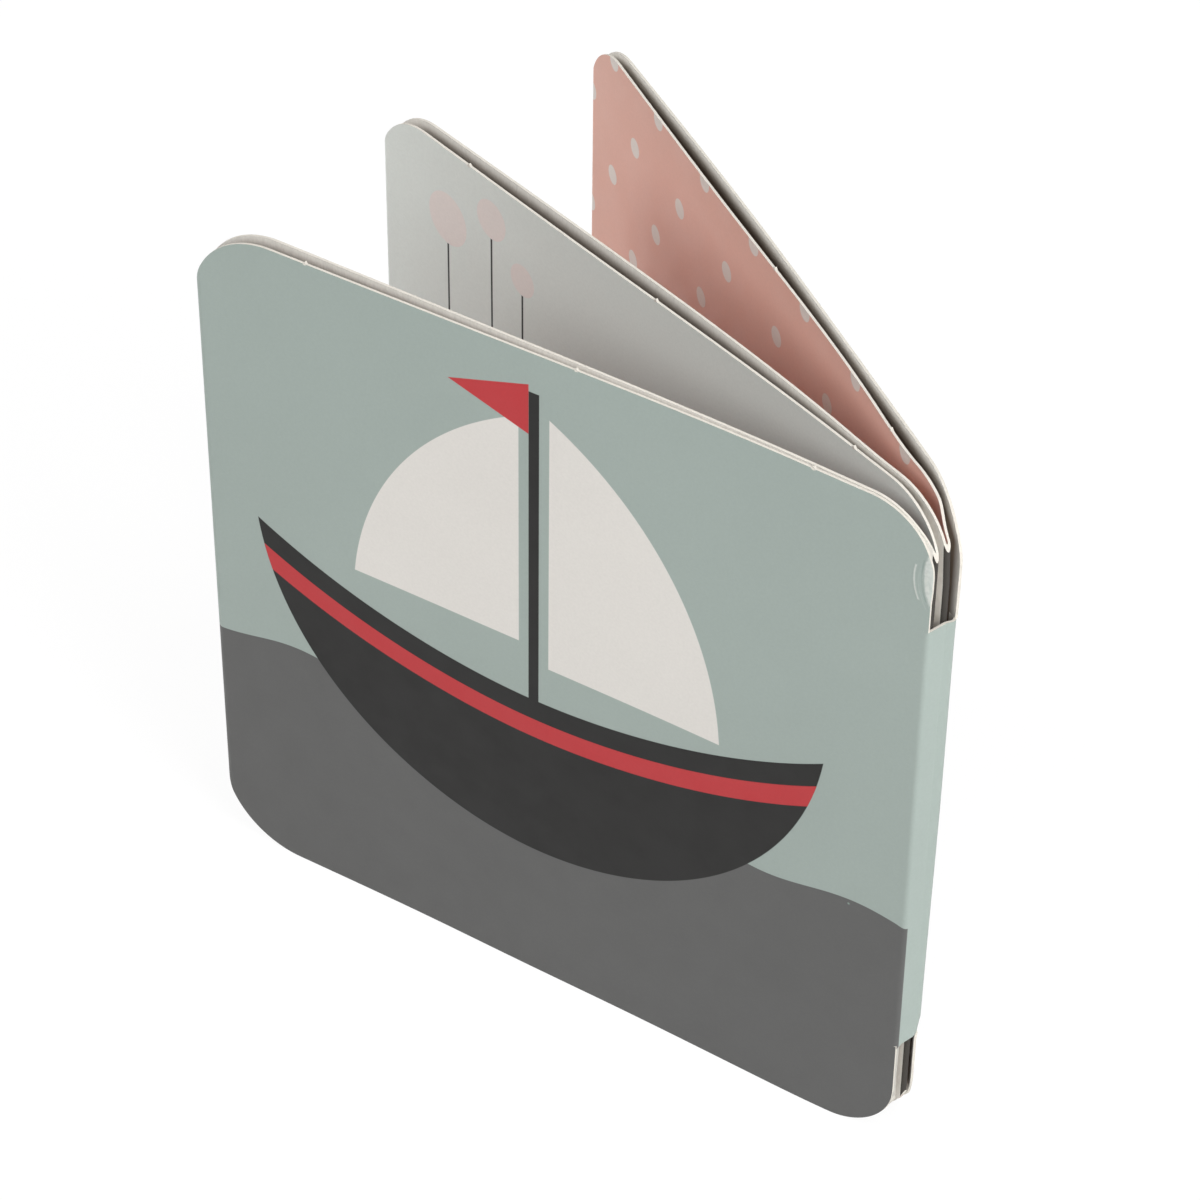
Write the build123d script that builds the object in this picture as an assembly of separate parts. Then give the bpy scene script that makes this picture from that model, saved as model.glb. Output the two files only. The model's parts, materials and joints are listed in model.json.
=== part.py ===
"""A board book that stands on its lower edges with its leaves fanned out.

The book is one strip of thin card folded in a zigzag. Each leaf is two plies joined by a round
fold at the fore edge, the pages meet in tight V folds behind the spine, and a short spine panel
joins the two covers. Millimetres, +Z up, front cover towards -Y, spine towards +X.
"""
import math
import os

from build123d import *

# The card, and the outline that every leaf is cut to
CARD = 0.5
LEAF_HEIGHT = 150.0
FORE_CORNER = 14.2
SPINE_CORNER = 12.9

# From the line of the creases to the fore edge of each leaf
FRONT_REACH = 152.5
PAGES_REACH = 154.0
BACK_REACH = 154.2

# How far each cover stands away from the middle leaf, in degrees
FRONT_FAN = 17.65
BACK_FAN = 16.5

# The spine panel is shorter than the leaves, with a notch above and below it
SPINE_NOTCH = 24.5
CREASE_RADIUS = 1.0
CREASE_SLIT = 0.35

# The layers at the spine: free room between them, from the front cover to the back cover
FRONT_ROOM = 1.55
PAGES_ROOM = 1.3
BACK_ROOM = 0.15

# The V folds that join the pages: width left inside, distance behind the creases, straight lips
FOLD_WIDTH = 0.1
FOLD_INSET = 1.85
FOLD_LIP = 0.4

# Where the page ply of each cover begins, measured from its crease
FRONT_PAGE_START = 5.0
BACK_PAGE_START = 6.0

# The soft bow of the leaves, given at their spine end, at these distances from the creases and at
# their fore edge: where the face towards -Y stands, then how wide the pocket between the plies is
BOW_AT = (14.0, 30.0, 85.0)
FRONT_BOW = (0.0, 0.45, 0.9, 0.62, -0.45)
FRONT_POCKET = (1.45, 0.3, 0.5, 1.5, 2.6)
PAGES_BOW = (0.0, -0.35, -0.25, -0.3, -0.5)
PAGES_POCKET = (PAGES_ROOM, 1.3, 1.6, 2.85, 2.1)
BACK_BOW = (-1.55, -1.9, -2.0, -2.0, -2.0)
BACK_POCKET = (0.55, 1.4, 1.84, 2.55, 1.35)

FOLD_RADIUS = CARD + FOLD_WIDTH / 2
FIRST_FOLD = CARD + FRONT_ROOM + FOLD_RADIUS
SECOND_FOLD = FIRST_FOLD + 2 * FOLD_RADIUS + PAGES_ROOM
SPINE_WIDTH = SECOND_FOLD + FOLD_RADIUS + BACK_ROOM + CARD


def ply(points, side):
    """A ply in plan: one face runs smoothly through the points, the card lies on its +Y or -Y side."""
    behind = [(x, y + side * CARD) for x, y in points]
    edges = [
        Spline(*points),
        Line(points[-1], behind[-1]),
        Spline(*behind),
        Line(behind[0], points[0]),
    ]
    return make_face(edges)


def half_fold(x, low, high, direction):
    """A half round fold in plan between two plies that end at x, bulging towards -X or +X."""
    middle = (low + high) / 2
    outer = (high - low) / 2
    bore = outer - CARD
    edges = [
        ThreePointArc((x, low), (x + direction * outer, middle), (x, high)),
        Line((x, high), (x, high - CARD)),
        ThreePointArc((x, high - CARD), (x + direction * bore, middle), (x, low + CARD)),
        Line((x, low + CARD), (x, low)),
    ]
    return make_face(edges)


def outline(spine_x, fore_x):
    """A thick block with the rounded outline of a leaf, seen from the front."""
    corners = [(spine_x, 0), (spine_x, LEAF_HEIGHT), (fore_x, LEAF_HEIGHT), (fore_x, 0)]
    flat = make_face(Polyline(*corners, close=True))
    flat = fillet(flat.vertices().sort_by(Axis.X)[:2], FORE_CORNER)
    flat = fillet(flat.vertices().sort_by(Axis.X)[-2:], SPINE_CORNER)
    return extrude(Plane.XZ * flat, LEAF_HEIGHT, both=True)


def cut_out(plan, spine_x, reach):
    """A plan raised to the height of the book and cut to the outline of its leaf."""
    return extrude(plan, LEAF_HEIGHT) & outline(spine_x, -reach)


def leaf(near_start, far_start, reach, near_bow, pocket, near_spine_x, far_spine_x):
    """Two plies with the fold that joins them at the fore edge. The near ply faces -Y."""
    far_bow = [y + 2 * CARD + room for y, room in zip(near_bow, pocket)]
    turn = -(reach - (far_bow[-1] - near_bow[-1]) / 2)
    between = [-place for place in BOW_AT]
    near = list(zip([-near_start, *between, turn], near_bow))
    far = list(zip([-far_start, *between, turn], far_bow))
    near_ply = cut_out(ply(near, 1), near_spine_x, reach)
    far_ply = cut_out(ply(far, -1), far_spine_x, reach)
    fold = cut_out(half_fold(turn, near_bow[-1], far_bow[-1], -1), near_spine_x, reach)
    return near_ply + fold + far_ply


def crease_tangent(fan):
    """From a crease's sharp corner to where its round begins."""
    return CREASE_RADIUS / math.tan(math.radians(90 + fan) / 2)


def free_crease(cover, fan):
    """Cuts back a cover where the spine panel's crease turns, so that the cover can swing."""
    reach = crease_tangent(fan) + CREASE_SLIT
    height = LEAF_HEIGHT - 2 * SPINE_NOTCH + 2 * CREASE_SLIT
    return cover - Pos(0, 0, LEAF_HEIGHT / 2) * Box(2 * reach, 2 * CARD + 0.2, height)


def fold_tip_in_leaf(x, y, fan):
    """The X of a point, seen from a leaf that has been turned by an angle about the crease."""
    angle = math.radians(fan)
    return x * math.cos(angle) + y * math.sin(angle)


def make_front_cover():
    """The front cover with the page behind it, turned out towards -Y."""
    page_end = fold_tip_in_leaf(FOLD_RADIUS - FOLD_INSET, FIRST_FOLD, FRONT_FAN)
    starts = (0.0, FRONT_PAGE_START)
    solid = leaf(*starts, FRONT_REACH, FRONT_BOW, FRONT_POCKET, 0.0, page_end)
    return Rot(0, 0, FRONT_FAN) * free_crease(solid, FRONT_FAN)


def make_back_cover():
    """The last page with the back cover behind it, turned out towards +Y."""
    page_end = fold_tip_in_leaf(FOLD_RADIUS - FOLD_INSET, SPINE_WIDTH - SECOND_FOLD, BACK_FAN)
    starts = (BACK_PAGE_START, 0.0)
    solid = leaf(*starts, BACK_REACH, BACK_BOW, BACK_POCKET, page_end, 0.0)
    return Pos(0, SPINE_WIDTH) * (Rot(0, 0, -BACK_FAN) * free_crease(solid, BACK_FAN))


def make_pages():
    """The middle leaf with the V folds that lead on to the pages of both covers."""
    spine_x = FOLD_RADIUS - FOLD_INSET
    near_bow = [FIRST_FOLD + FOLD_WIDTH / 2 + y for y in PAGES_BOW]
    solid = leaf(FOLD_INSET, FOLD_INSET, PAGES_REACH, near_bow, PAGES_POCKET, spine_x, spine_x)
    for middle, side in ((FIRST_FOLD, -1), (SECOND_FOLD, 1)):
        fold = half_fold(-FOLD_INSET, middle - FOLD_RADIUS, middle + FOLD_RADIUS, 1)
        lip_y = middle + side * (FOLD_WIDTH + CARD) / 2
        lip = Pos(-FOLD_INSET - FOLD_LIP / 2, lip_y) * Rectangle(FOLD_LIP, CARD)
        for plan in (fold, lip):
            solid += cut_out(plan, spine_x, PAGES_REACH)
    return solid


def make_spine():
    """The spine panel between the notches, with a round crease along both of its long edges."""
    low = crease_tangent(FRONT_FAN)
    high = SPINE_WIDTH - crease_tangent(BACK_FAN)
    panel = Pos(-CARD / 2, (low + high) / 2) * Rectangle(CARD, high - low)
    for y, start, sweep in ((low, FRONT_FAN - 90, 90 - FRONT_FAN), (high, 0, 90 - BACK_FAN)):
        middle = (-CREASE_RADIUS, y)
        outer = CenterArc(middle, CREASE_RADIUS, start, sweep)
        inner = CenterArc(middle, CREASE_RADIUS - CARD, start, sweep)
        panel += make_face([outer, Line(outer @ 1, inner @ 1), inner, Line(inner @ 0, outer @ 0)])
    return Pos(0, 0, SPINE_NOTCH) * extrude(panel, LEAF_HEIGHT - 2 * SPINE_NOTCH)


def make_book():
    """All subcomponents by name, with the middle of the book's footprint at the origin."""
    nodes = {
        "front_cover": make_front_cover(),
        "pages": make_pages(),
        "spine": make_spine(),
        "back_cover": make_back_cover(),
    }
    middle = Compound(list(nodes.values())).bounding_box().center()
    shift = Pos(-middle.X, -middle.Y)
    return {name: shift * solid for name, solid in nodes.items()}


os.makedirs("parts", exist_ok=True)
for node_name, node in make_book().items():
    export_step(node, f"parts/{node_name}.step")
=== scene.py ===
"""A board book that stands with its leaves fanned out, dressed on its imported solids.

Each leaf is drawn as the folded strip of card that it is: a printed side, a bare side and cut edges.
Sizes are in millimetres in the frame of the solids, and become metres when a mesh is made.
"""
import json
import math

import bmesh
import bpy
import numpy as np
from mathutils import Matrix, Vector


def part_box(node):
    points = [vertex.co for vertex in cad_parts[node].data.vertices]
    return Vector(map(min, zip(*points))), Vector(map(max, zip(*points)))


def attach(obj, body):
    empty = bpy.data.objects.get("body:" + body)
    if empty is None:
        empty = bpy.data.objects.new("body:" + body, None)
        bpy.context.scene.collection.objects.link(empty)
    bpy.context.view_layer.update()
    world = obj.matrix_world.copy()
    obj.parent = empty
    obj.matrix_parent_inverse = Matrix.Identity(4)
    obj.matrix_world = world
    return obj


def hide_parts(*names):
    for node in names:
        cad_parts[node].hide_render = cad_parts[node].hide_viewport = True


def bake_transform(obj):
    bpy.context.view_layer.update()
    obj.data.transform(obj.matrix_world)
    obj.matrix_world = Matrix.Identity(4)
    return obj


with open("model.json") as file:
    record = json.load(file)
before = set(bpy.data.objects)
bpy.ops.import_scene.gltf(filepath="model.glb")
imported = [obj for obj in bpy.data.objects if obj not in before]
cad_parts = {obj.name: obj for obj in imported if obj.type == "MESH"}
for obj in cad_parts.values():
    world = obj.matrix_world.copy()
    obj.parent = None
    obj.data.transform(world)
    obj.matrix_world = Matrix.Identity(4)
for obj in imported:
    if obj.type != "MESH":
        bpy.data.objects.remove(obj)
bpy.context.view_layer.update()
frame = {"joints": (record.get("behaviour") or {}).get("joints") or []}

MM = 0.001

# The card and the outline of the leaves
CARD = 0.5
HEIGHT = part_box("pages")[1].z / MM
SPINE_CORNER = 12.9
PANEL_LOW, PANEL_HIGH = (corner.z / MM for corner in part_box("spine"))

# The creases that the covers turn about, and how far the covers stand open, in degrees
HINGES = {joint["name"]: joint["pos_m"] for joint in frame["joints"]}
FRONT_CREASE = np.array(HINGES["front_crease"][:2]) / MM
BACK_CREASE = np.array(HINGES["back_crease"][:2]) / MM
SPINE_WIDTH = BACK_CREASE[1] - FRONT_CREASE[1]
FRONT_FAN = 17.65
BACK_FAN = -16.5

# The card is rounded at a crease. The piece that is drawn for it reaches this far to both sides.
CREASE_RADIUS = 1.0
CREASE_REACH = 2.0

# The lower notch was punched with a rounded corner at the foot of the front crease
NOTCH_CORNER = 1.8

# The V folds behind the spine panel: their middle from the front crease, how open they are inside, how
# far they stand back from the panel, the side that the cover's page lies on, how far that page leans out
# of them in degrees, and how they sway to the side at the heights SWAY_AT
SWAY_AT = (0, 28, 95, 133, 141, 150)
FOLDS = {
    "first": dict(
        middle=1.5,
        bore=0.05,
        inset=1.15,
        side=-1,
        lean=35,
        sway=(-0.28, -0.28, 0, 0, 0, 0),
    ),
    "second": dict(
        middle=4.2,
        bore=0.2,
        inset=1.5,
        side=1,
        lean=0,
        sway=(0.05, 0.05, 0.5, 0.5, 0, 0),
    ),
}

# How far a V fold runs on straight towards the cover's page, as a lip
FOLD_LIP = 0.4

# How far behind the creases the rounded corners of the pages end
PAGE_EDGE = 0.31

# How far the middle leaf stands from the front crease, and where its V folds' sway has faded out
MIDDLE_AT = 2.65
SWAY_END = 9.0

# The upper edge stands up a little at the nicks, where a ply tore free from the sheet around it
NICK_HEIGHT = 0.45
NICK_WIDTH = 0.25

# Each leaf: where it turns and by how much, its reach and fore corners, where its near and far ply begin,
# the bow of its near face and the width of its pocket, both at the spine end, at BOW_AT and at the fore
# edge, and where its upper edge has nicks. foot is how far the foot of a cover's leaf is warped, at
# FOOT_AT from WARP_START on. The middle leaf isn't warped.
BOW_AT = (14.0, 30.0, 85.0)
FOOT_AT = (0.0, 12.0, 33.0, 57.0, 80.0, 102.0, 125.0, 150.0)
WARP_START = 2.1

LEAVES = {
    "front": dict(
        origin=FRONT_CREASE,
        fan=FRONT_FAN,
        reach=153.25,
        corner=17.5,
        starts=(0.0, 5.0),
        near=(0.0, 0.25, 0.8, 0.62, -0.45),
        pocket=(0.1, 0.32, 0.5, 1.5, 2.6),
        foot=(0.0, -0.7, -1.15, -0.84, -0.4, 0.2, 0.4, 0.35),
        nicks=(24.0, 71.5, 128.0),
    ),
    "middle": dict(
        origin=FRONT_CREASE + np.array([0, MIDDLE_AT]),
        fan=0.0,
        reach=154.0,
        corner=12.8,
        starts=(1.15, 1.5),
        near=(-1.1, -0.8, -0.3, -0.3, -0.5),
        pocket=(1.45, 1.1, 1.6, 2.85, 2.1),
        nicks=(23.0, 75.0, 127.5),
    ),
    "back": dict(
        origin=BACK_CREASE,
        fan=BACK_FAN,
        reach=153.95,
        corner=13.0,
        starts=(6.0, 0.0),
        near=(-2.0, -2.65, -2.2, -2.0, -2.0),
        pocket=(1.0, 2.15, 2.04, 2.55, 1.35),
        foot=(0.0,) * len(FOOT_AT),
        nicks=(23.0, 71.5),
    ),
}


# Curves in plan. A leaf runs along -X from its crease, and s is the distance from the crease.

SLOPE_STEP = 0.01


def natural_spline(knots, values):
    """A smooth function of s through the given values."""
    x, y = np.array(knots, float), np.array(values, float)
    h = np.diff(x)
    count = len(x)
    system, right = np.eye(count), np.zeros(count)
    for i in range(1, count - 1):
        system[i, i - 1 : i + 2] = h[i - 1], 2 * (h[i - 1] + h[i]), h[i]
        right[i] = 3 * ((y[i + 1] - y[i]) / h[i] - (y[i] - y[i - 1]) / h[i - 1])
    c = np.linalg.solve(system, right)
    slope = np.diff(y) / h - h * (2 * c[:-1] + c[1:]) / 3
    cubic = np.diff(c) / (3 * h)

    def curve(s):
        s = np.asarray(s, float)
        i = np.clip(np.searchsorted(x, s) - 1, 0, count - 2)
        d = s - x[i]
        return y[i] + slope[i] * d + c[i] * d**2 + cubic[i] * d**3

    return curve


def slope_of(curve, s):
    return (curve(s + SLOPE_STEP) - curve(s - SLOPE_STEP)) / (2 * SLOPE_STEP)


def corner_inset(distance, radius):
    """How far a rounded corner has come in, at a distance from the side that it ends at."""
    left = np.clip(radius - distance, 0, radius)
    return radius - np.sqrt(radius**2 - left**2)


def place(points, origin, fan):
    """Plan points of a leaf, turned about its crease into the frame."""
    c, s = math.cos(math.radians(fan)), math.sin(math.radians(fan))
    return np.asarray(points) @ np.array([[c, s], [-s, c]]) + origin


def place_in(leaf, points):
    return place(points, leaf["origin"], leaf["fan"])


def page_edge_in_leaf(y, fan):
    """Where the rounded corners of the pages end, along a cover's leaf."""
    angle = math.radians(fan)
    return PAGE_EDGE * math.cos(angle) - y * math.sin(angle)


# Strips of card, from one end of a piece to the other

# How many columns each stretch of a strip has
CORNER_COLUMNS = 36
PLY_COLUMNS = 70
NICK_COLUMNS = 13
FORE_FOLD_COLUMNS = 13
V_FOLD_COLUMNS = 25
BRIDGE_COLUMNS = 15
CREASE_COLUMNS = 13
COVER_COLUMNS = 7
SPINE_COLUMNS = 5

# Columns are close together this far to both sides of a nick, and in even steps at the spine end of a
# ply. No two of a ply are nearer than CLOSEST_COLUMNS.
NICK_REACH = 0.9
SPINE_END = 6.0
SPINE_END_STEP = 0.25
CLOSEST_COLUMNS = 0.015

# Lengths that differ by less count as the same
TOLERANCE = 1e-6


class Strip:
    """Columns of a strip of card: printed and bare plan points, their corner insets, s and a tag."""

    def __init__(self):
        self.printed, self.bare, self.insets, self.s, self.tags = [], [], [], [], []

    def add(self, tag, printed, bare, insets, s):
        self.printed += list(printed)
        self.bare += list(bare)
        self.insets += list(zip(*insets))
        self.s += list(s)
        self.tags += [tag] * len(printed)

    def extend(self, other):
        self.printed += other.printed
        self.bare += other.bare
        self.insets += other.insets
        self.s += other.s
        self.tags += other.tags


def arc_points(centre, radii, degrees):
    """Printed and bare points of a round fold about its centre."""
    angles = np.radians(degrees)
    ray = np.stack([np.cos(angles), np.sin(angles)], 1)
    return [np.array(centre) + radius * ray for radius in radii]


def ply_points(curve, s, side):
    """Printed and bare points of a ply; side is 1 where the card lies towards +Y of its print."""
    slope = slope_of(curve, s)
    normal = np.stack([slope, np.ones_like(slope)], 1) / np.sqrt(1 + slope**2)[:, None]
    printed = np.stack([-s, curve(s)], 1)
    return printed, printed + side * CARD * normal


def bridge_points(start, start_way, end, end_way, side, count):
    """Printed and bare points of card that runs smoothly from one place and direction to another."""
    start, end = np.array(start), np.array(end)
    length = np.linalg.norm(end - start)
    a, b = (np.array(way) / np.linalg.norm(way) * length for way in (start_way, end_way))
    t = np.linspace(0, 1, count)[:, None]
    printed = (
        (2 * t**3 - 3 * t**2 + 1) * start
        + (t**3 - 2 * t**2 + t) * a
        + (3 * t**2 - 2 * t**3) * end
        + (t**3 - t**2) * b
    )
    way = (6 * t**2 - 6 * t) * (start - end) + (3 * t**2 - 4 * t + 1) * a + (3 * t**2 - 2 * t) * b
    normal = np.stack([-way[:, 1], way[:, 0]], 1) / np.linalg.norm(way, axis=1)[:, None]
    return printed, printed + side * CARD * normal


def ply_places(leaf, start, edge, nicks):
    """Places along a ply, close together in both rounded corners, at its spine end and at each nick."""
    turn, reach, corner = leaf["turn"], leaf["reach"], leaf["corner"]
    rounding = 1 - np.cos(np.linspace(0, math.pi / 2, CORNER_COLUMNS))
    places = np.concatenate(
        [
            [start, turn, CREASE_REACH],
            edge + SPINE_CORNER * rounding,
            reach - corner * rounding,
            np.linspace(edge + SPINE_CORNER, reach - corner, PLY_COLUMNS),
            np.arange(start, SPINE_END, SPINE_END_STEP),
            *[nick + np.linspace(-NICK_REACH, NICK_REACH, NICK_COLUMNS) for nick in nicks],
        ]
    )
    places = places[(places >= start) & (places <= turn)]
    places = np.unique(np.round(places, 3))
    return places[np.concatenate([[True], np.diff(places) > CLOSEST_COLUMNS])]


def add_ply(strip, tag, leaf, curve, edge, nicks=()):
    """Adds the near ply from the spine to the fore edge, or the far ply on its way back."""
    far = tag == "far"
    s = ply_places(leaf, leaf["starts"][far], edge, nicks)
    order = slice(None, None, -1 if far else 1)
    sides, insets = [], []
    for points in ply_points(curve, s, -1 if far else 1):
        at_spine = corner_inset(-points[:, 0] - edge, SPINE_CORNER)
        at_fore_edge = corner_inset(leaf["reach"] + points[:, 0], leaf["corner"])
        insets.append(np.maximum(at_spine, at_fore_edge)[order])
        sides.append(place_in(leaf, points)[order])
    strip.add(tag, *sides, insets, s[order])


def add_fore_fold(strip, leaf):
    """Adds the round fold at the fore edge. Each half takes the print of its own ply."""
    turn, radius = leaf["turn"], leaf["radius"]
    centre = (-turn, leaf["near_curve"](turn) + radius)
    steps = np.linspace(0, 90, FORE_FOLD_COLUMNS)[1:]
    halves = (
        ("near", -90 - steps, steps),
        ("far", -180 - steps[:-1], 90 - steps[:-1]),
    )
    for tag, degrees, along in halves:
        sides = arc_points(centre, (radius, radius - CARD), degrees)
        insets = [corner_inset(leaf["reach"] + points[:, 0], leaf["corner"]) for points in sides]
        s = turn + radius * np.radians(along)
        strip.add(tag, *[place_in(leaf, points) for points in sides], insets, s)


def fold_lip(fold):
    """The lip of a V fold towards the cover's page: its printed and bare point, and its direction."""
    lean = math.radians(fold["lean"])
    way = np.array([-math.cos(lean), fold["side"] * math.sin(lean)])
    across = np.array([math.sin(lean), fold["side"] * math.cos(lean)])
    start = np.array([-fold["inset"], fold["middle"]]) + FOLD_LIP * way
    return [start + (fold["bore"] + depth) * across for depth in (0, CARD)], way


def add_v_fold(strip, name):
    """Adds a V fold with the lip of the cover's page."""
    fold = FOLDS[name]
    side, inset, bore = fold["side"], fold["inset"], fold["bore"]
    degrees = side * np.linspace(90 - fold["lean"], -90, V_FOLD_COLUMNS)[:-1]
    ring = arc_points((-inset, fold["middle"]), (bore, bore + CARD), degrees)
    parts = [
        ([point[None] for point in fold_lip(fold)[0]], [inset + FOLD_LIP]),
        ([points[::-side] for points in ring], [inset] * len(degrees)),
    ]
    for sides, s in parts if side < 0 else parts[::-1]:
        insets = [corner_inset(-points[:, 0] - PAGE_EDGE, SPINE_CORNER) for points in sides]
        strip.add(name, *[points + FRONT_CREASE for points in sides], insets, s)


# Warps and wear. A bend gives the shift of the card at s and z; inward points from its print to its back.


def step(value, start, end):
    """0 before start and 1 after end, with a smooth way between."""
    t = np.clip((value - start) / (end - start), 0, 1)
    return t * t * (3 - 2 * t)


def fade(s, length):
    """1 at the crease, falling evenly to 0 at the given distance from it."""
    return np.clip(1 - s / length, 0, 1)


def tab_curl(s, z):
    """How far the scuffed edge of the front cover curls inwards, above the spine panel."""
    curl = 0.3
    return curl * fade(s, 1.5) ** 1.5 * step(z, 131, 135) * step(z, 143, 139)


def end_swell(s, z):
    """How far the back cover swells outwards at its spine end: most above the panel, less at the top."""
    middle, upper, top = 0.38, 0.15, 0.45
    swell = middle * step(z, 30, 90) + upper * step(z, 118, 134) - top * step(z, 136, 150)
    return swell * step(s, -CREASE_REACH, -0.7) * fade(s, 9) ** 2


def foot_crush(s, z):
    """How far the back crease is crushed inwards at its lower end."""
    crush = 0.75
    return crush * step(z, 29.5, 22.5) * step(s, -CREASE_REACH, -0.2) * fade(s, 2.6)


def corner_lift(s, z):
    """How far the lower spine corner of the back cover is pushed up."""
    lift = 1.3
    return lift * step(z, 24, 14) * fade(s, 4)


def warped(leaf, side=0, cover="near"):
    """The warp of a leaf towards its foot, with the wear at the spine end of a cover.

    side is -1 for the front cover, 1 for the back cover and 0 for no wear. cover is the tag of the ply
    that wears.
    """
    foot = natural_spline(FOOT_AT, leaf["foot"])
    across = np.append(place([[0, 1]], np.zeros(2), leaf["fan"])[0], 0)

    def bend(s, z, inward, tags):
        worn = tags == cover
        shift = (foot(np.maximum(s - WARP_START, 0)) * (1 - z / HEIGHT))[..., None] * across
        if side < 0:
            shift = shift + (tab_curl(s, z) * worn)[..., None] * inward
        if side > 0:
            shift = shift + ((foot_crush(s, z) - end_swell(s, z)) * worn)[..., None] * inward
            shift[..., 2] += corner_lift(s, z) * worn
        return shift

    return bend


def swayed(names, end):
    """The sway of the V folds, which fades out along their pages to the given s. names is by tag."""

    def bend(s, z, inward, tags):
        shift = np.zeros(s.shape + (3,))
        for tag, name in names.items():
            fold = FOLDS[name]
            held = 1 - step(s, fold["inset"] + FOLD_LIP, end)
            shift[..., 1] += np.interp(z, SWAY_AT, fold["sway"]) * held * (tags == tag)
        return shift

    return bend


def together(first, second):
    return lambda *where: first(*where) + second(*where)


# Meshes. A strip is a grid of columns along the card and rows up its height.

# How many rows there are along the spine panel, and along the lower and the upper notch
PANEL_ROWS = 24
NOTCH_ROWS = (18, 44)
BEHIND_PANEL = range(NOTCH_ROWS[0], NOTCH_ROWS[0] + PANEL_ROWS)
SHARP_ANGLE = math.radians(38)

# How deep inside the book a place counts as, seen from the spine: a cover's leaf gets deeper this many
# times as fast as it runs, and the middle leaf as fast as it runs, from this far behind its spine end
# This depth sets the painted shade of the bare card
COVER_DEEPENS = 1.5
MIDDLE_DEEP_FROM = 6.0

# The material numbers of the printed and the bare side for each tag, and of the cut edges
SLOTS = {"near": (0, 2), "far": (1, 2), "first": (0, 4), "second": (1, 5), "edge": 3}


def rows_by_panel(low, high):
    """Row heights that meet both ends of the spine panel, close together in the notches."""
    low_end, high_end = np.full_like(low, PANEL_LOW), np.full_like(high, PANEL_HIGH)
    bands = (
        (low, low_end, NOTCH_ROWS[0]),
        (low_end, high_end, PANEL_ROWS),
        (high_end, high, NOTCH_ROWS[1]),
    )
    rows = []
    for start, end, count in bands:
        share = np.arange(count) / count
        rows.append(start[:, None] + (end - start)[:, None] * share)
    return np.concatenate([*rows, high[:, None]], 1)


def rows_of_panel(low, high):
    """Row heights of the spine panel and its creases.

    low is how far a column hangs into the lower notch. high is there because rows_by_panel has it.
    """
    rows = np.linspace(PANEL_LOW, PANEL_HIGH, PANEL_ROWS + 1)[None, :].repeat(len(low), 0)
    rows[:, 0] -= low
    return rows


def nick_lift(s, nicks):
    """How far the upper edge stands up at its nicks."""
    lift = np.zeros_like(s)
    for nick in nicks:
        lift += NICK_HEIGHT * np.exp(-(((s - nick) / NICK_WIDTH) ** 2))
    return lift


def side_grids(strip, rows, lift):
    """The points of the printed and of the bare side, each by column and row."""
    grids = []
    for plan, inset in zip((strip.printed, strip.bare), np.array(strip.insets).T):
        heights = rows(inset, HEIGHT - inset + lift)
        plan = np.array(plan)[:, None, :].repeat(heights.shape[1], 1)
        grids.append(np.concatenate([plan, heights[..., None]], 2))
    return grids


def sheet_places(along, grid, notched):
    """The place of each point on the flat sheet as s and z, and how deep inside the book it lies."""
    z = grid[..., 2]
    from_edges = np.minimum(z - z[:, :1], z[:, -1:] - z)
    from_spine = COVER_DEEPENS * along if notched else np.maximum(along - MIDDLE_DEEP_FROM, 0)
    return np.stack([along, z, np.minimum(from_edges, from_spine)], 2)


def card_cells(s, rows, notched):
    """Which cells of the grid are card, with a border of empty cells all round.

    A notched strip leaves out the cells that the spine panel's crease takes up.
    """
    card = np.ones((len(s) + 1, rows + 1), bool)
    card[[0, -1], :] = card[:, [0, -1]] = False
    if notched:
        near_crease = np.maximum(s[:-1], s[1:]) < CREASE_REACH + TOLERANCE
        cells = card[1:-1, 1:-1]
        cells[np.ix_(near_crease, BEHIND_PANEL)] = False
    return card


def card_faces(card, tags):
    """Faces as point numbers, and their materials: both sides of each cell, and the cut edges round it."""
    columns, rows = card.shape[0] - 1, card.shape[1] - 1
    printed, bare = np.arange(2 * columns * rows).reshape(2, columns, rows)
    faces, materials = [], []
    for i, j in np.argwhere(card[1:-1, 1:-1]):
        corners = [(i, j), (i + 1, j), (i + 1, j + 1), (i, j + 1)]
        faces.append([printed[corner] for corner in corners])
        faces.append([bare[corner] for corner in corners[::-1]])
        materials += SLOTS[tags[i]]
        beside = ((i + 1, j), (i + 2, j + 1), (i + 1, j + 2), (i, j + 1))
        for number, neighbour in enumerate(beside):
            if not card[neighbour]:
                p, q = corners[number], corners[(number + 1) % 4]
                faces.append([printed[q], printed[p], bare[p], bare[q]])
                materials.append(SLOTS["edge"])
    return np.array(faces), materials


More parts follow.
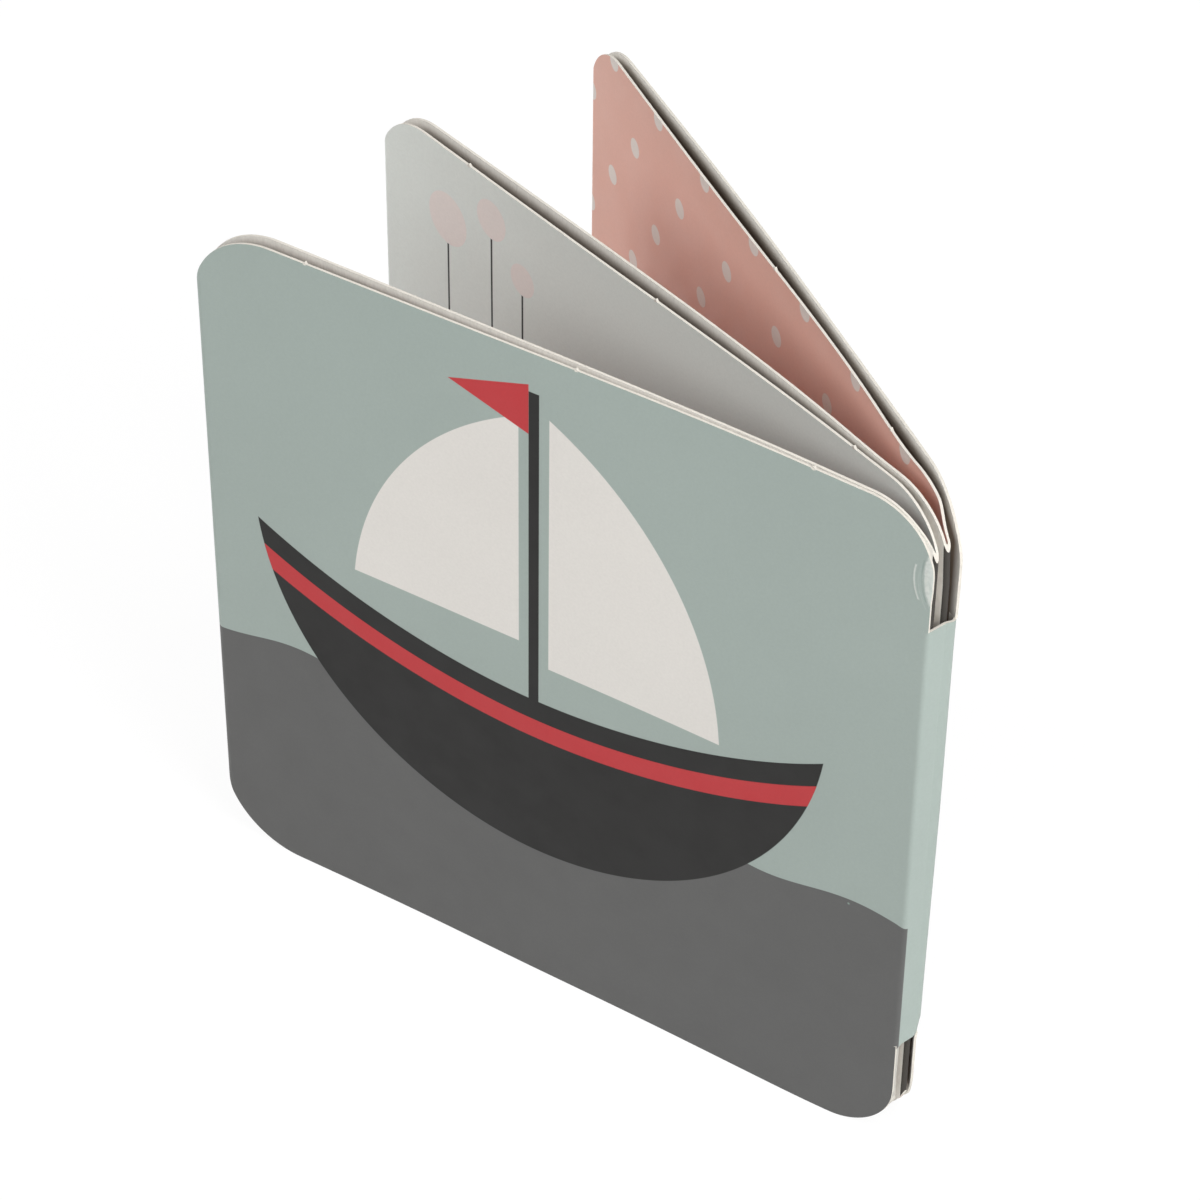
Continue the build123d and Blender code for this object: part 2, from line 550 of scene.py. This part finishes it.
def make_piece(name, strip, rows, notched=False, nicks=(), bend=None):
    """A closed mesh of a strip of card, with its place on the flat sheet as an attribute."""
    s, tags = np.array(strip.s), np.array(strip.tags)
    grids = side_grids(strip, rows, nick_lift(s, nicks) * (tags == "near"))
    row_count = grids[0].shape[1]
    along = s[:, None].repeat(row_count, 1)
    sheet = np.stack([sheet_places(along, grid, notched) for grid in grids])
    if bend:
        inward = (grids[1] - grids[0]) / CARD
        inward[..., 2] = 0
        grids = [grid + bend(along, grid[..., 2], inward, tags[:, None]) for grid in grids]
    points = np.concatenate([grid.reshape(-1, 3) for grid in grids]) * MM
    faces, materials = card_faces(card_cells(s, row_count, notched), strip.tags)
    used, corner_numbers = np.unique(faces, return_inverse=True)

    mesh = bpy.data.meshes.new(name)
    mesh.from_pydata(points[used].tolist(), [], corner_numbers.reshape(-1, 4).tolist())
    mesh.polygons.foreach_set("material_index", materials)
    attribute = mesh.attributes.new("sheet", "FLOAT_VECTOR", "POINT")
    attribute.data.foreach_set("vector", sheet.reshape(-1, 3)[used].astype(np.float32).ravel())
    work = bmesh.new()
    work.from_mesh(mesh)
    bmesh.ops.recalc_face_normals(work, faces=work.faces)
    work.to_mesh(mesh)
    work.free()
    mesh.polygons.foreach_set("use_smooth", [True] * len(mesh.polygons))
    mesh.set_sharp_from_angle(angle=SHARP_ANGLE)
    piece = bpy.data.objects.new(name, mesh)
    bpy.context.scene.collection.objects.link(piece)
    return piece


# Materials. The print is drawn by distance: every shape is a distance in millimetres, below 0 inside.


def linear(*srgb):
    """An 8 bit sRGB colour as linear light."""
    shares = [value / 255 for value in srgb]
    return tuple(c / 12.92 if c <= 0.04045 else ((c + 0.055) / 1.055) ** 2.4 for c in shares)


class Ink:
    """A material under construction.

    x and z are the place on the sheet, and depth is how deep inside the book it lies.
    """

    def __init__(self, name):
        self.material = bpy.data.materials.new(name)
        self.material.use_nodes = True
        self.tree = self.material.node_tree
        self.shader = self.tree.nodes["Principled BSDF"]
        sheet = self.tree.nodes.new("ShaderNodeAttribute")
        sheet.attribute_name = "sheet"
        apart = self.tree.nodes.new("ShaderNodeSeparateXYZ")
        self.tree.links.new(sheet.outputs["Vector"], apart.inputs[0])
        self.x, self.z, self.depth = apart.outputs
        self.place = self.tree.nodes.new("ShaderNodeTexCoord").outputs["Object"]

    def feed(self, socket, value):
        if isinstance(value, bpy.types.NodeSocket):
            self.tree.links.new(value, socket)
        else:
            socket.default_value = value

    def math(self, operation, *values, clamp=False):
        node = self.tree.nodes.new("ShaderNodeMath")
        node.operation = operation
        node.use_clamp = clamp
        for socket, value in zip(node.inputs, values):
            self.feed(socket, value)
        return node.outputs[0]

    def add(self, first, second):
        return self.math("ADD", first, second)

    def less(self, first, second):
        return self.math("SUBTRACT", first, second)

    def times(self, first, second):
        return self.math("MULTIPLY", first, second)

    def length(self, across, up):
        return self.math("SQRT", self.add(self.times(across, across), self.times(up, up)))

    def circle(self, x, z, radius):
        return self.less(self.length(self.less(self.x, x), self.less(self.z, z)), radius)

    def beyond(self, x, z, degrees):
        """The half plane on the side of a point that a direction faces away from."""
        angle = math.radians(degrees)
        across = self.times(self.less(self.x, x), math.cos(angle))
        up = self.times(self.less(self.z, z), math.sin(angle))
        return self.add(across, up)

    def both(self, first, *others):
        for other in others:
            first = self.math("MAXIMUM", first, other)
        return first

    def either(self, first, *others):
        for other in others:
            first = self.math("MINIMUM", first, other)
        return first

    def outside(self, distance):
        return self.times(distance, -1.0)

    def band(self, distance, half_width):
        """What lies within half a width of an edge."""
        return self.less(self.math("ABSOLUTE", distance), half_width)

    def upright(self, x, half_width):
        """A band up the sheet."""
        return self.band(self.beyond(x, 0, 0), half_width)

    def level(self, z, half_height):
        """A band along the sheet."""
        return self.band(self.beyond(0, z, 90), half_height)

    def cover(self, distance, blur=0.12):
        """1 inside a shape and 0 outside it, with an edge of the given width."""
        return self.math("SUBTRACT", 0.5, self.math("DIVIDE", distance, blur), clamp=True)

    def paint(self, under, over, amount):
        node = self.tree.nodes.new("ShaderNodeMix")
        node.data_type = "RGBA"
        self.feed(node.inputs["Factor"], amount)
        for socket, colour in ((node.inputs[6], under), (node.inputs[7], over)):
            self.feed(socket, colour if isinstance(colour, bpy.types.NodeSocket) else (*colour, 1))
        return node.outputs[2]

    def noise(self, scale, detail=2.0, vector=None, roughness=0.5):
        """Noise from 0 to 1. scale is how many blots there are in a metre."""
        node = self.tree.nodes.new("ShaderNodeTexNoise")
        self.feed(node.inputs["Vector"], vector or self.place)
        node.inputs["Scale"].default_value = scale
        node.inputs["Detail"].default_value = detail
        node.inputs["Roughness"].default_value = roughness
        return node.outputs["Fac"]

    def ragged(self, scale, detail, size):
        """An uneven distance about 0 that makes an edge ragged when it is added."""
        return self.times(self.less(self.noise(scale, detail), 0.5), size)

    def spread(self, value, low, high, start=0.0, end=1.0):
        """Maps what lies between low and high onto start to end, and holds it at both ends."""
        node = self.tree.nodes.new("ShaderNodeMapRange")
        for socket, number in zip(node.inputs, (value, low, high, start, end)):
            self.feed(socket, number)
        return node.outputs[0]

    def stretched(self, x, y, z):
        node = self.tree.nodes.new("ShaderNodeMapping")
        self.feed(node.inputs["Vector"], self.place)
        node.inputs["Scale"].default_value = (x, y, z)
        return node.outputs[0]

    def bump(self, height, distance, strength=1.0, under=None):
        """Relief that follows height, distance millimetres deep, on top of the relief under it."""
        node = self.tree.nodes.new("ShaderNodeBump")
        self.feed(node.inputs["Height"], height)
        node.inputs["Distance"].default_value = distance * MM
        node.inputs["Strength"].default_value = strength
        if under:
            self.tree.links.new(under, node.inputs["Normal"])
        self.tree.links.new(node.outputs[0], self.shader.inputs["Normal"])
        return node.outputs[0]

    def colour_toned(self, colour, tone):
        """Sets the base colour, made lighter and darker by tone."""
        node = self.tree.nodes.new("ShaderNodeVectorMath")
        node.operation = "SCALE"
        self.feed(node.inputs[0], colour)
        self.feed(node.inputs["Scale"], tone)
        self.feed(self.shader.inputs["Base Color"], node.outputs[0])


# Inks
SAGE = linear(165, 177, 171)
SEA = linear(98, 98, 97)
CHARCOAL = linear(31, 30, 29)
OFF_WHITE = linear(230, 226, 220)
RED = linear(193, 58, 62)
MIST = linear(235, 240, 234)
RUSSET = linear(130, 82, 72)
ROSE_WHITE = linear(244, 234, 228)
SALMON = linear(232, 187, 172)

# Wear of the print: bare card at the nicks, and scuffed and creased lamination, painted paler as painted
# highlight on the rim, ruffles and curled edge, and darker as painted shade in the crease
CREAM = linear(228, 223, 212)
# A pale scuff that also paints the highlights, and a dark ink for the speck and for the painted shade in
# the crease
SCUFF_AND_HIGHLIGHT = linear(216, 220, 214)
SPECK_AND_CREASE_SHADE = linear(138, 156, 149)

# Bare card: in the open, darkened to a painted shade deep inside the book, cut through, and behind the V
# folds, where the first fold is lighter below the spine panel
CARD_WHITE = linear(249, 245, 238)
CARD_PAINTED_SHADE = linear(128, 114, 102)
CARD_CUT = linear(226, 221, 211)
FOLD_TINT = linear(72, 69, 65)
FOLD_FOOT = linear(196, 193, 186)

# How deep inside the book the painted shade of the card begins and is darkest, and where the lighter foot
# ends
PAINTED_SHADE_DEPTH = (0.5, 3.4)
FOLD_FOOT_TOP = PANEL_LOW + 2

# The lamination: how its colour and roughness vary, its sheen, and the relief of its grain and its wear
INK_TONE = (0.975, 1.02)
PRINT_ROUGHNESS = (0.44, 0.56)
PRINT_SPECULAR = 0.25
PRINT_GRAIN = 0.02
WEAR_RELIEF = 0.2

# Bare card: how its colour varies by fibres and by flecks, its surface, and the relief of its fibres
FIBRE_TONE = (0.93, 1.04)
FLECK_TONE = (0.97, 1.02)
CARD_ROUGHNESS = 0.85
CARD_SPECULAR = 0.2
FIBRE_RELIEF = 0.04


def finish_print(ink, colour, relief=None):
    """The laminated surface: faint unevenness of the ink, and a soft sheen that varies a little."""
    cloudy = ink.spread(ink.noise(22, 3), 0.3, 0.7, *INK_TONE)
    grainy = ink.spread(ink.noise(1900, 2), 0.25, 0.75, *INK_TONE)
    ink.colour_toned(colour, ink.times(cloudy, grainy))
    ink.feed(ink.shader.inputs["Roughness"], ink.spread(ink.noise(160, 3), 0.3, 0.7, *PRINT_ROUGHNESS))
    ink.shader.inputs["Specular IOR Level"].default_value = PRINT_SPECULAR
    surface = ink.bump(ink.noise(1400, 3), PRINT_GRAIN, 0.5)
    if relief:
        ink.bump(relief, WEAR_RELIEF, 1.0, surface)
    return ink.material


def nick_marks(ink, colour, nicks):
    """Bare card where the ply tore free from the sheet around it."""
    ragged = ink.ragged(2600, 2, 0.9)
    radius, above_edge = 0.45, 0.2
    for nick in nicks:
        mark = ink.add(ink.circle(nick, HEIGHT + above_edge, radius), ragged)
        colour = ink.paint(colour, CREAM, ink.cover(mark, 0.15))
    return colour


def sea_level(ink, height):
    """The top of the grey water, a slow swell."""
    wave_length, wave_height = 41, 1.5
    wave = ink.math("SINE", ink.times(ink.x, 2 * math.pi / wave_length))
    return ink.less(ink.less(ink.z, height), ink.times(wave, wave_height))


def boat(ink, colour):
    """A plain sailing boat: a wide dark hull with a red stripe, a mast, two sails and a pennant."""
    mast_at, mast_half = 80.0, 1.1
    deck_centre, deck_radius, stripe_radius = 196, 126, 133
    sail_gap = 3.2
    pennant_tip = (98, 137.5)

    deck = ink.outside(ink.circle(mast_at, deck_centre, deck_radius))
    hull = ink.both(ink.circle(mast_at, 94, 62), deck)
    stripe = ink.both(hull, ink.band(ink.circle(mast_at, deck_centre, stripe_radius), 2.2))
    mast = ink.both(ink.upright(mast_at, mast_half), ink.level(104, 37.5))
    main_edge = ink.beyond(mast_at - sail_gap, 0, 0)
    main_sail = ink.both(ink.circle(112, 74, 72), main_edge, ink.beyond(0, 79, -90))
    fore_edge = ink.beyond(mast_at + sail_gap, 0, 180)
    fore_sail = ink.both(ink.circle(54, 76, 66), fore_edge, ink.beyond(0, 83, -90))
    pennant = ink.both(
        ink.beyond(mast_at + mast_half, 0, 180),
        ink.beyond(*pennant_tip, 72),
        ink.beyond(*pennant_tip, -72),
    )
    for shape, paint in (
        (ink.either(main_sail, fore_sail), OFF_WHITE),
        (pennant, RED),
        (ink.either(hull, mast), CHARCOAL),
        (stripe, RED),
    ):
        colour = ink.paint(colour, paint, ink.cover(shape))
    return colour


def tab_wear_and_painted_light(ink, colour):
    """The scuffed spine end of the front cover, above the panel, with painted highlight on its rim,
    ruffles and curled edge and painted shade in its crease. Gives its relief too.
    """
    ragged = ink.ragged(1500, 3, 0.5)
    patchy = ink.spread(ink.noise(900, 3), 0.35, 0.65, 0.6, 1.0)

    # A raised rim and a pressed crease, both thin bows, and ruffled lamination between them. The rim and
    # the ruffle crests get a painted highlight, the crease a painted shade.
    rim = ink.both(ink.band(ink.circle(-7.8, 136.9, 11.3), 0.12), ink.level(135.6, 3.6))
    crease = ink.both(ink.band(ink.circle(-13.7, 137.8, 15.75), 0.1), ink.level(136.4, 4.4))
    ruffle = ink.both(ink.circle(-5, 135.6, 8.3), ink.level(135.4, 5.4))
    waves = ink.add(ink.times(ink.circle(-9, 137, 9), 7.5), ink.times(ragged, 9))
    ruffled = ink.times(ink.cover(ruffle, 1.6), ink.math("SINE", waves))

    # A pale patch along the edge, partly scuffed lamination and partly painted highlight where the edge
    # curls, and a speck on the print
    scuff = ink.both(ink.circle(-13.7, 137.8, 15.3), ink.beyond(0, 131.5, -90), ink.beyond(-0.1, 0, 180))
    scuff_and_curl_highlight = ink.times(ink.cover(ink.add(scuff, ragged), 0.3), patchy)
    speck = ink.circle(11.6, 55.4, 0.22)

    # Painted highlight on the rim, the ruffles and the curled edge, painted shade in the crease, and the
    # speck
    for paint, amount in (
        (SCUFF_AND_HIGHLIGHT, ink.times(ink.spread(ruffled, 0.5, 1.0), 0.22)),
        (SCUFF_AND_HIGHLIGHT, ink.cover(ink.add(rim, ink.times(ragged, 0.25)), 0.3)),
        (SPECK_AND_CREASE_SHADE, ink.times(ink.cover(crease, 0.3), 0.55)),
        (SCUFF_AND_HIGHLIGHT, scuff_and_curl_highlight),
        (SPECK_AND_CREASE_SHADE, ink.cover(speck, 0.2)),
    ):
        colour = ink.paint(colour, paint, amount)
    raised = ink.add(ink.times(ink.cover(rim, 0.7), 0.5), ink.times(ruffled, 0.06))
    return colour, ink.less(raised, ink.times(ink.cover(crease, 0.5), 0.35))


def cover_print(name, nicks, is_front):
    """The covers: pale sky over grey water. The front has a boat, and wear with painted highlight and
    painted shade at the top of its crease.
    """
    ink = Ink(name)
    water_end = -0.7 if is_front else 1.0
    water = ink.both(sea_level(ink, 55.0), ink.beyond(water_end, 0, 180))
    colour = ink.paint(SAGE, SEA, ink.cover(water))
    relief = None
    if is_front:
        colour, relief = tab_wear_and_painted_light(ink, boat(ink, colour))
    return finish_print(ink, nick_marks(ink, colour, nicks), relief)


def balloon_print(name, ground, nicks):
    """Pages 2 and 3: an even ground with a few balloons on strings."""
    ink = Ink(name)
    colour = ground
    string_half, string_foot = 0.25, 70
    for x, z, radius in ((134.0, 134.5, 5.6), (121.0, 141.5, 4.2), (112.0, 133.0, 3.4)):
        string = ink.both(
            ink.upright(x, string_half),
            ink.beyond(0, z - radius, 90),
            ink.beyond(0, string_foot, -90),
        )
        colour = ink.paint(colour, CHARCOAL, ink.cover(string))
        colour = ink.paint(colour, ROSE_WHITE, ink.cover(ink.circle(x, z, radius)))
    return finish_print(ink, nick_marks(ink, colour, nicks))


def dotted_print(name, nicks):
    """Pages 4 and 5: salmon with small white dots in staggered rows."""
    ink = Ink(name)
    pitch_x, pitch_z, first_x, radius = 21.0, 13.0, 4.0, 2.0
    row = ink.math("FLOOR", ink.math("DIVIDE", ink.z, pitch_z))
    stagger = ink.times(ink.math("MODULO", row, 2.0), pitch_x / 2)
    shifted = ink.add(ink.x, ink.add(stagger, first_x))
    x = ink.less(ink.math("FLOORED_MODULO", shifted, pitch_x), pitch_x / 2)
    z = ink.less(ink.math("FLOORED_MODULO", ink.z, pitch_z), pitch_z / 2)
    dots = ink.less(ink.length(x, z), radius)
    colour = ink.paint(SALMON, OFF_WHITE, ink.cover(dots))
    return finish_print(ink, nick_marks(ink, colour, nicks))


def card_material(name, colour, streak, inside=None, foot=None):
    """Uncoated card: short fibres, stretched by streak, and flecks.

    inside is the painted shade that it darkens to deep inside the book, and foot its colour below the
    spine panel.
    """
    ink = Ink(name)
    fibres = ink.noise(2400, 3, ink.stretched(*streak), 0.6)
    flecks = ink.noise(700, 2)
    if inside:
        # Painted shade: the card darkens towards the given colour the deeper it lies inside the book
        colour = ink.paint(colour, inside, ink.spread(ink.depth, *PAINTED_SHADE_DEPTH))
    if foot:
        colour = ink.paint(foot, colour, ink.cover(ink.beyond(0, FOLD_FOOT_TOP, -90)))
    fibre_tone = ink.spread(fibres, 0.3, 0.7, *FIBRE_TONE)
    fleck_tone = ink.spread(flecks, 0.3, 0.7, *FLECK_TONE)
    ink.colour_toned(colour, ink.times(fibre_tone, fleck_tone))
    ink.shader.inputs["Roughness"].default_value = CARD_ROUGHNESS
    ink.shader.inputs["Specular IOR Level"].default_value = CARD_SPECULAR
    ink.bump(fibres, FIBRE_RELIEF, 0.6)
    return ink.material


# The book


def give(piece, materials):
    for material in materials:
        piece.data.materials.append(material)


def prepare(leaf):
    """Works out the curves of a leaf's two plies and the fold between them."""
    near = leaf["near"]
    far = [y + 2 * CARD + room for y, room in zip(near, leaf["pocket"])]
    leaf["radius"] = (far[-1] - near[-1]) / 2
    leaf["turn"] = leaf["reach"] - leaf["radius"]
    near_start, far_start = leaf["starts"]
    leaf["near_curve"] = natural_spline((near_start, *BOW_AT, leaf["turn"]), near)
    leaf["far_curve"] = natural_spline((far_start, *BOW_AT, leaf["turn"]), far)


def leaf_strip(leaf, near_edge, far_edge):
    """The folded card of a leaf, from its near ply round the fore edge to its far ply."""
    strip = Strip()
    add_ply(strip, "near", leaf, leaf["near_curve"], near_edge, leaf["nicks"])
    add_fore_fold(strip, leaf)
    add_ply(strip, "far", leaf, leaf["far_curve"], far_edge)
    return strip


def middle_strip(leaf):
    """The middle leaf with the V folds at both of its ends."""
    strip = Strip()
    add_v_fold(strip, "first")
    strip.extend(leaf_strip(leaf, PAGE_EDGE, PAGE_EDGE))
    add_v_fold(strip, "second")
    return strip


def crease_strip(leaf, curve, side):
    """The card that turns from the spine panel to a cover. side is -1 at the front and 1 at the back."""
    origin, fan = leaf["origin"], abs(leaf["fan"])
    tangent = CREASE_RADIUS / math.tan(math.radians(90 + fan) / 2)
    strip = Strip()

    def add(sides, s):
        """Adds columns. At the front, those of the panel hang into the rounded corner of the notch."""
        hang = corner_inset(-s, NOTCH_CORNER) * ((s < TOLERANCE) & (side < 0))
        strip.add("near", *sides, [hang] * 2, s)

    s = np.array([-CREASE_REACH, -(CREASE_REACH + tangent) / 2])
    flat = np.stack([np.zeros(2), side * s], 1)
    add((flat + origin, flat - [CARD, 0] + origin), s)

    degrees = side * np.linspace(0, 90 - fan, CREASE_COLUMNS)
    centre = (-CREASE_RADIUS, -side * tangent)
    arc = arc_points(centre, (CREASE_RADIUS, CREASE_RADIUS - CARD), degrees)
    add([points + origin for points in arc], np.linspace(-tangent, tangent, CREASE_COLUMNS))

    end = (-CREASE_REACH, float(curve(CREASE_REACH)))
    end_way = (-1.0, float(slope_of(curve, CREASE_REACH)))
    on_cover = bridge_points((-tangent, 0.0), (-1.0, 0.0), end, end_way, side, COVER_COLUMNS)
    s = np.linspace(tangent, CREASE_REACH, COVER_COLUMNS)[1:]
    add([place_in(leaf, points[1:]) for points in on_cover], s)
    return strip


def bridge_strip(leaf, curve, start, edge, fold):
    """The card between a V fold's lip and the page ply of a cover, and the places that it runs between."""
    (lip_point, _), lip_way = fold_lip(fold)
    lip = lip_point + FRONT_CREASE
    root = place_in(leaf, [[-start, float(curve(start))]])[0]
    root_way = place([[-1.0, float(slope_of(curve, start))]], np.zeros(2), leaf["fan"])[0]
    sides = bridge_points(lip, lip_way, root, root_way, -fold["side"], BRIDGE_COLUMNS)
    distance = np.linspace(-lip_point[0] - PAGE_EDGE, start - edge, BRIDGE_COLUMNS)
    s = np.linspace(fold["inset"] + FOLD_LIP, start, BRIDGE_COLUMNS)
    strip = Strip()
    strip.add("near", *sides, [corner_inset(distance, SPINE_CORNER)] * 2, s)
    return strip, lip, root


def spine_strip():
    """The flat card between the two creases."""
    y = np.linspace(CREASE_REACH, SPINE_WIDTH - CREASE_REACH, SPINE_COLUMNS)
    printed = np.stack([np.zeros(SPINE_COLUMNS), y], 1) + FRONT_CREASE
    strip = Strip()
    strip.add("near", printed, printed - [CARD, 0], [np.zeros(SPINE_COLUMNS)] * 2, -y)
    return strip


def metres(point, z=0.075):
    """A plan point in metres, halfway up the book."""
    return (point[0] * MM, point[1] * MM, z)


for leaf in LEAVES.values():
    prepare(leaf)
front, middle, back = LEAVES.values()

front_print = cover_print("front_cover_print", front["nicks"], True)
back_print = cover_print("back_cover_print", (), False)
page_two = balloon_print("page_two_print", RUSSET, ())
page_three = balloon_print("page_three_print", MIST, middle["nicks"])
page_four = dotted_print("page_four_print", ())
page_five = dotted_print("page_five_print", back["nicks"])
# The bare card is darkened to a painted shade deep inside the book, in the pockets and behind the notches
bare_card_painted_shade = card_material("bare_card_painted_shade", CARD_WHITE, (1.0, 1.0, 0.25), inside=CARD_PAINTED_SHADE)
cut_card = card_material("cut_card", CARD_CUT, (0.3, 1.6, 1.0))
first_tint = card_material("first_fold_tint", FOLD_TINT, (1.0, 1.0, 0.2), foot=FOLD_FOOT)
second_tint = card_material("second_fold_tint", FOLD_TINT, (1.0, 1.0, 0.2))

# Where the rounded corners of the pages end, along the two covers
front_tip = page_edge_in_leaf(FOLDS["first"]["middle"], FRONT_FAN)
back_tip = page_edge_in_leaf(FOLDS["second"]["middle"] - SPINE_WIDTH, BACK_FAN)

front_leaf = make_piece(
    "front_leaf",
    leaf_strip(front, 0.0, front_tip),
    rows_by_panel,
    notched=True,
    nicks=front["nicks"],
    bend=warped(front, -1),
)
give(front_leaf, (front_print, page_two, bare_card_painted_shade, cut_card))
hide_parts("front_cover")
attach(front_leaf, "front_cover")

back_leaf = make_piece(
    "back_leaf",
    leaf_strip(back, back_tip, 0.0),
    rows_by_panel,
    notched=True,
    nicks=back["nicks"],
    bend=warped(back, 1, cover="far"),
)
give(back_leaf, (page_five, back_print, bare_card_painted_shade, cut_card))
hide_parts("back_cover")
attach(back_leaf, "back_cover")

# The V fold that each tag of the middle leaf sways with
MIDDLE_FOLDS = {"first": "first", "near": "first", "far": "second", "second": "second"}
middle_leaf = make_piece(
    "middle_leaf",
    middle_strip(middle),
    rows_by_panel,
    nicks=middle["nicks"],
    bend=swayed(MIDDLE_FOLDS, SWAY_END),
)
middle_materials = (page_three, page_four, bare_card_painted_shade, cut_card, first_tint, second_tint)
give(middle_leaf, middle_materials)
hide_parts("pages")
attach(middle_leaf, "pages")

spine_panel = make_piece("spine_panel", spine_strip(), rows_of_panel)
give(spine_panel, (back_print, back_print, bare_card_painted_shade, cut_card))
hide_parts("spine")
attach(spine_panel, "pages")

for name, leaf, curve, side, body, material in (
    ("front_crease", front, front["near_curve"], -1, "front_cover", front_print),
    ("back_crease", back, back["far_curve"], 1, "back_cover", back_print),
):
    crease = make_piece(name, crease_strip(leaf, curve, side), rows_of_panel, bend=warped(leaf, side))
    give(crease, (material, material, bare_card_painted_shade, cut_card))
    cover_end = place([[-1.0, 0.0]], leaf["origin"], leaf["fan"])[0]
    metres(cover_end)
    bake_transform(crease)

for name, leaf, curve, start, edge, body, material in (
    ("first", front, front["far_curve"], front["starts"][1], front_tip, "front_cover", page_two),
    ("second", back, back["near_curve"], back["starts"][0], back_tip, "back_cover", page_five),
):
    strip, lip_point, root = bridge_strip(leaf, curve, start, edge, FOLDS[name])
    bend = together(warped(leaf), swayed({"near": name}, start))
    bridge = make_piece(name + "_fold_page", strip, rows_by_panel, bend=bend)
    give(bridge, (material, material, bare_card_painted_shade, cut_card))
    metres(lip_point)
    metres(root)
    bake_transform(bridge)


# Floor, light and camera

FLOOR_SIZE = 6.0
FLOOR_COLOUR = (0.8, 0.8, 0.8, 1)
FLOOR_ROUGHNESS = 0.9

# The camera sees a white sweep that keeps only a trace of the shadow
FLOOR_GLOW = 1.045
SHADOW_SHARE = 0.12

# The strength of the light that comes evenly from all around
AMBIENT = 0.067


def seen_directly(tree):
    """1 for what the camera sees, straight on or in a reflection, and 0 for what lights the book."""
    rays = tree.nodes.new("ShaderNodeLightPath")
    total = rays.outputs["Is Camera Ray"]
    for kind in ("Is Glossy Ray", "Is Transmission Ray"):
        larger = tree.nodes.new("ShaderNodeMath")
        larger.operation = "MAXIMUM"
        tree.links.new(total, larger.inputs[0])
        tree.links.new(rays.outputs[kind], larger.inputs[1])
        total = larger.outputs[0]
    return total


def sweep_material():
    """A matt pale floor that looks white to the camera."""
    material = bpy.data.materials.new("floor")
    material.use_nodes = True
    tree = material.node_tree
    shader = tree.nodes["Principled BSDF"]
    shader.inputs["Base Color"].default_value = FLOOR_COLOUR
    shader.inputs["Roughness"].default_value = FLOOR_ROUGHNESS
    shader.inputs["Specular IOR Level"].default_value = 0.0
    glow = tree.nodes.new("ShaderNodeEmission")
    glow.inputs["Strength"].default_value = FLOOR_GLOW
    share = tree.nodes.new("ShaderNodeMath")
    share.operation = "MULTIPLY"
    tree.links.new(seen_directly(tree), share.inputs[0])
    share.inputs[1].default_value = 1 - SHADOW_SHARE
    sweep = tree.nodes.new("ShaderNodeMixShader")
    tree.links.new(share.outputs[0], sweep.inputs[0])
    tree.links.new(shader.outputs[0], sweep.inputs[1])
    tree.links.new(glow.outputs[0], sweep.inputs[2])
    tree.links.new(sweep.outputs[0], tree.nodes["Material Output"].inputs["Surface"])
    return material


def studio_world():
    """Even light of the AMBIENT strength, which the camera sees as white."""
    world = bpy.data.worlds.new("studio")
    world.use_nodes = True
    tree = world.node_tree
    background = tree.nodes["Background"]
    background.inputs["Color"].default_value = (1, 1, 1, 1)
    level = tree.nodes.new("ShaderNodeMapRange")
    tree.links.new(seen_directly(tree), level.inputs["Value"])
    level.inputs["To Min"].default_value = AMBIENT
    tree.links.new(level.outputs[0], background.inputs["Strength"])
    return world


bpy.ops.mesh.primitive_plane_add(size=FLOOR_SIZE, location=(0, 0, 0))
floor = bpy.context.object
floor.name = "floor"
floor.data.materials.append(sweep_material())
bpy.context.scene.world = studio_world()

# Lamps: heading and height in degrees, and power. They are round and stand at one distance from the book.
LAMP_DISTANCE = 1.6
LAMP_WIDTH = 0.9
LAMP_TARGET = Vector((0, 0, 0.08))
LAMPS = {
    "right": (0, 30, 14.1),
    "right_high": (0, 60, 11.2),
    "front": (315, 30, 3.4),
    "left": (225, 30, 10.7),
    "back": (135, 30, 6.0),
}
for name, (heading, height, power) in LAMPS.items():
    light = bpy.data.lights.new(name, "AREA")
    light.shape = "DISK"
    light.size = LAMP_WIDTH
    light.energy = power
    lamp = bpy.data.objects.new(name, light)
    bpy.context.scene.collection.objects.link(lamp)
    around, above = math.radians(heading), math.radians(height)
    level = math.cos(above)
    way = Vector((level * math.cos(around), level * math.sin(around), math.sin(above)))
    lamp.location = LAMP_TARGET + LAMP_DISTANCE * way
    lamp.rotation_mode = "QUATERNION"
    lamp.rotation_quaternion = (-way).to_track_quat("-Z", "Y")

# The camera, worked out from the photograph: place, directions to the right and down, and focal length
CAMERA_AT = (0.46122, -0.39452, 0.60564)
CAMERA_RIGHT = (0.6344603, 0.77289799, 0.00942523)
CAMERA_DOWN = (0.51069411, -0.41000554, -0.75570298)
CAMERA_LENS = 129.913
CAMERA_SENSOR = 36.0

camera = bpy.data.objects.new("camera", bpy.data.cameras.new("camera"))
bpy.context.scene.collection.objects.link(camera)
right, up = Vector(CAMERA_RIGHT), -Vector(CAMERA_DOWN)
turn = Matrix((right, up, right.cross(up))).transposed().to_4x4()
camera.matrix_world = Matrix.Translation(CAMERA_AT) @ turn
camera.data.lens = CAMERA_LENS
camera.data.sensor_width = CAMERA_SENSOR
camera.data.clip_start, camera.data.clip_end = 0.01, 20.0
bpy.context.scene.camera = camera
bpy.context.scene.view_settings.view_transform = "Standard"
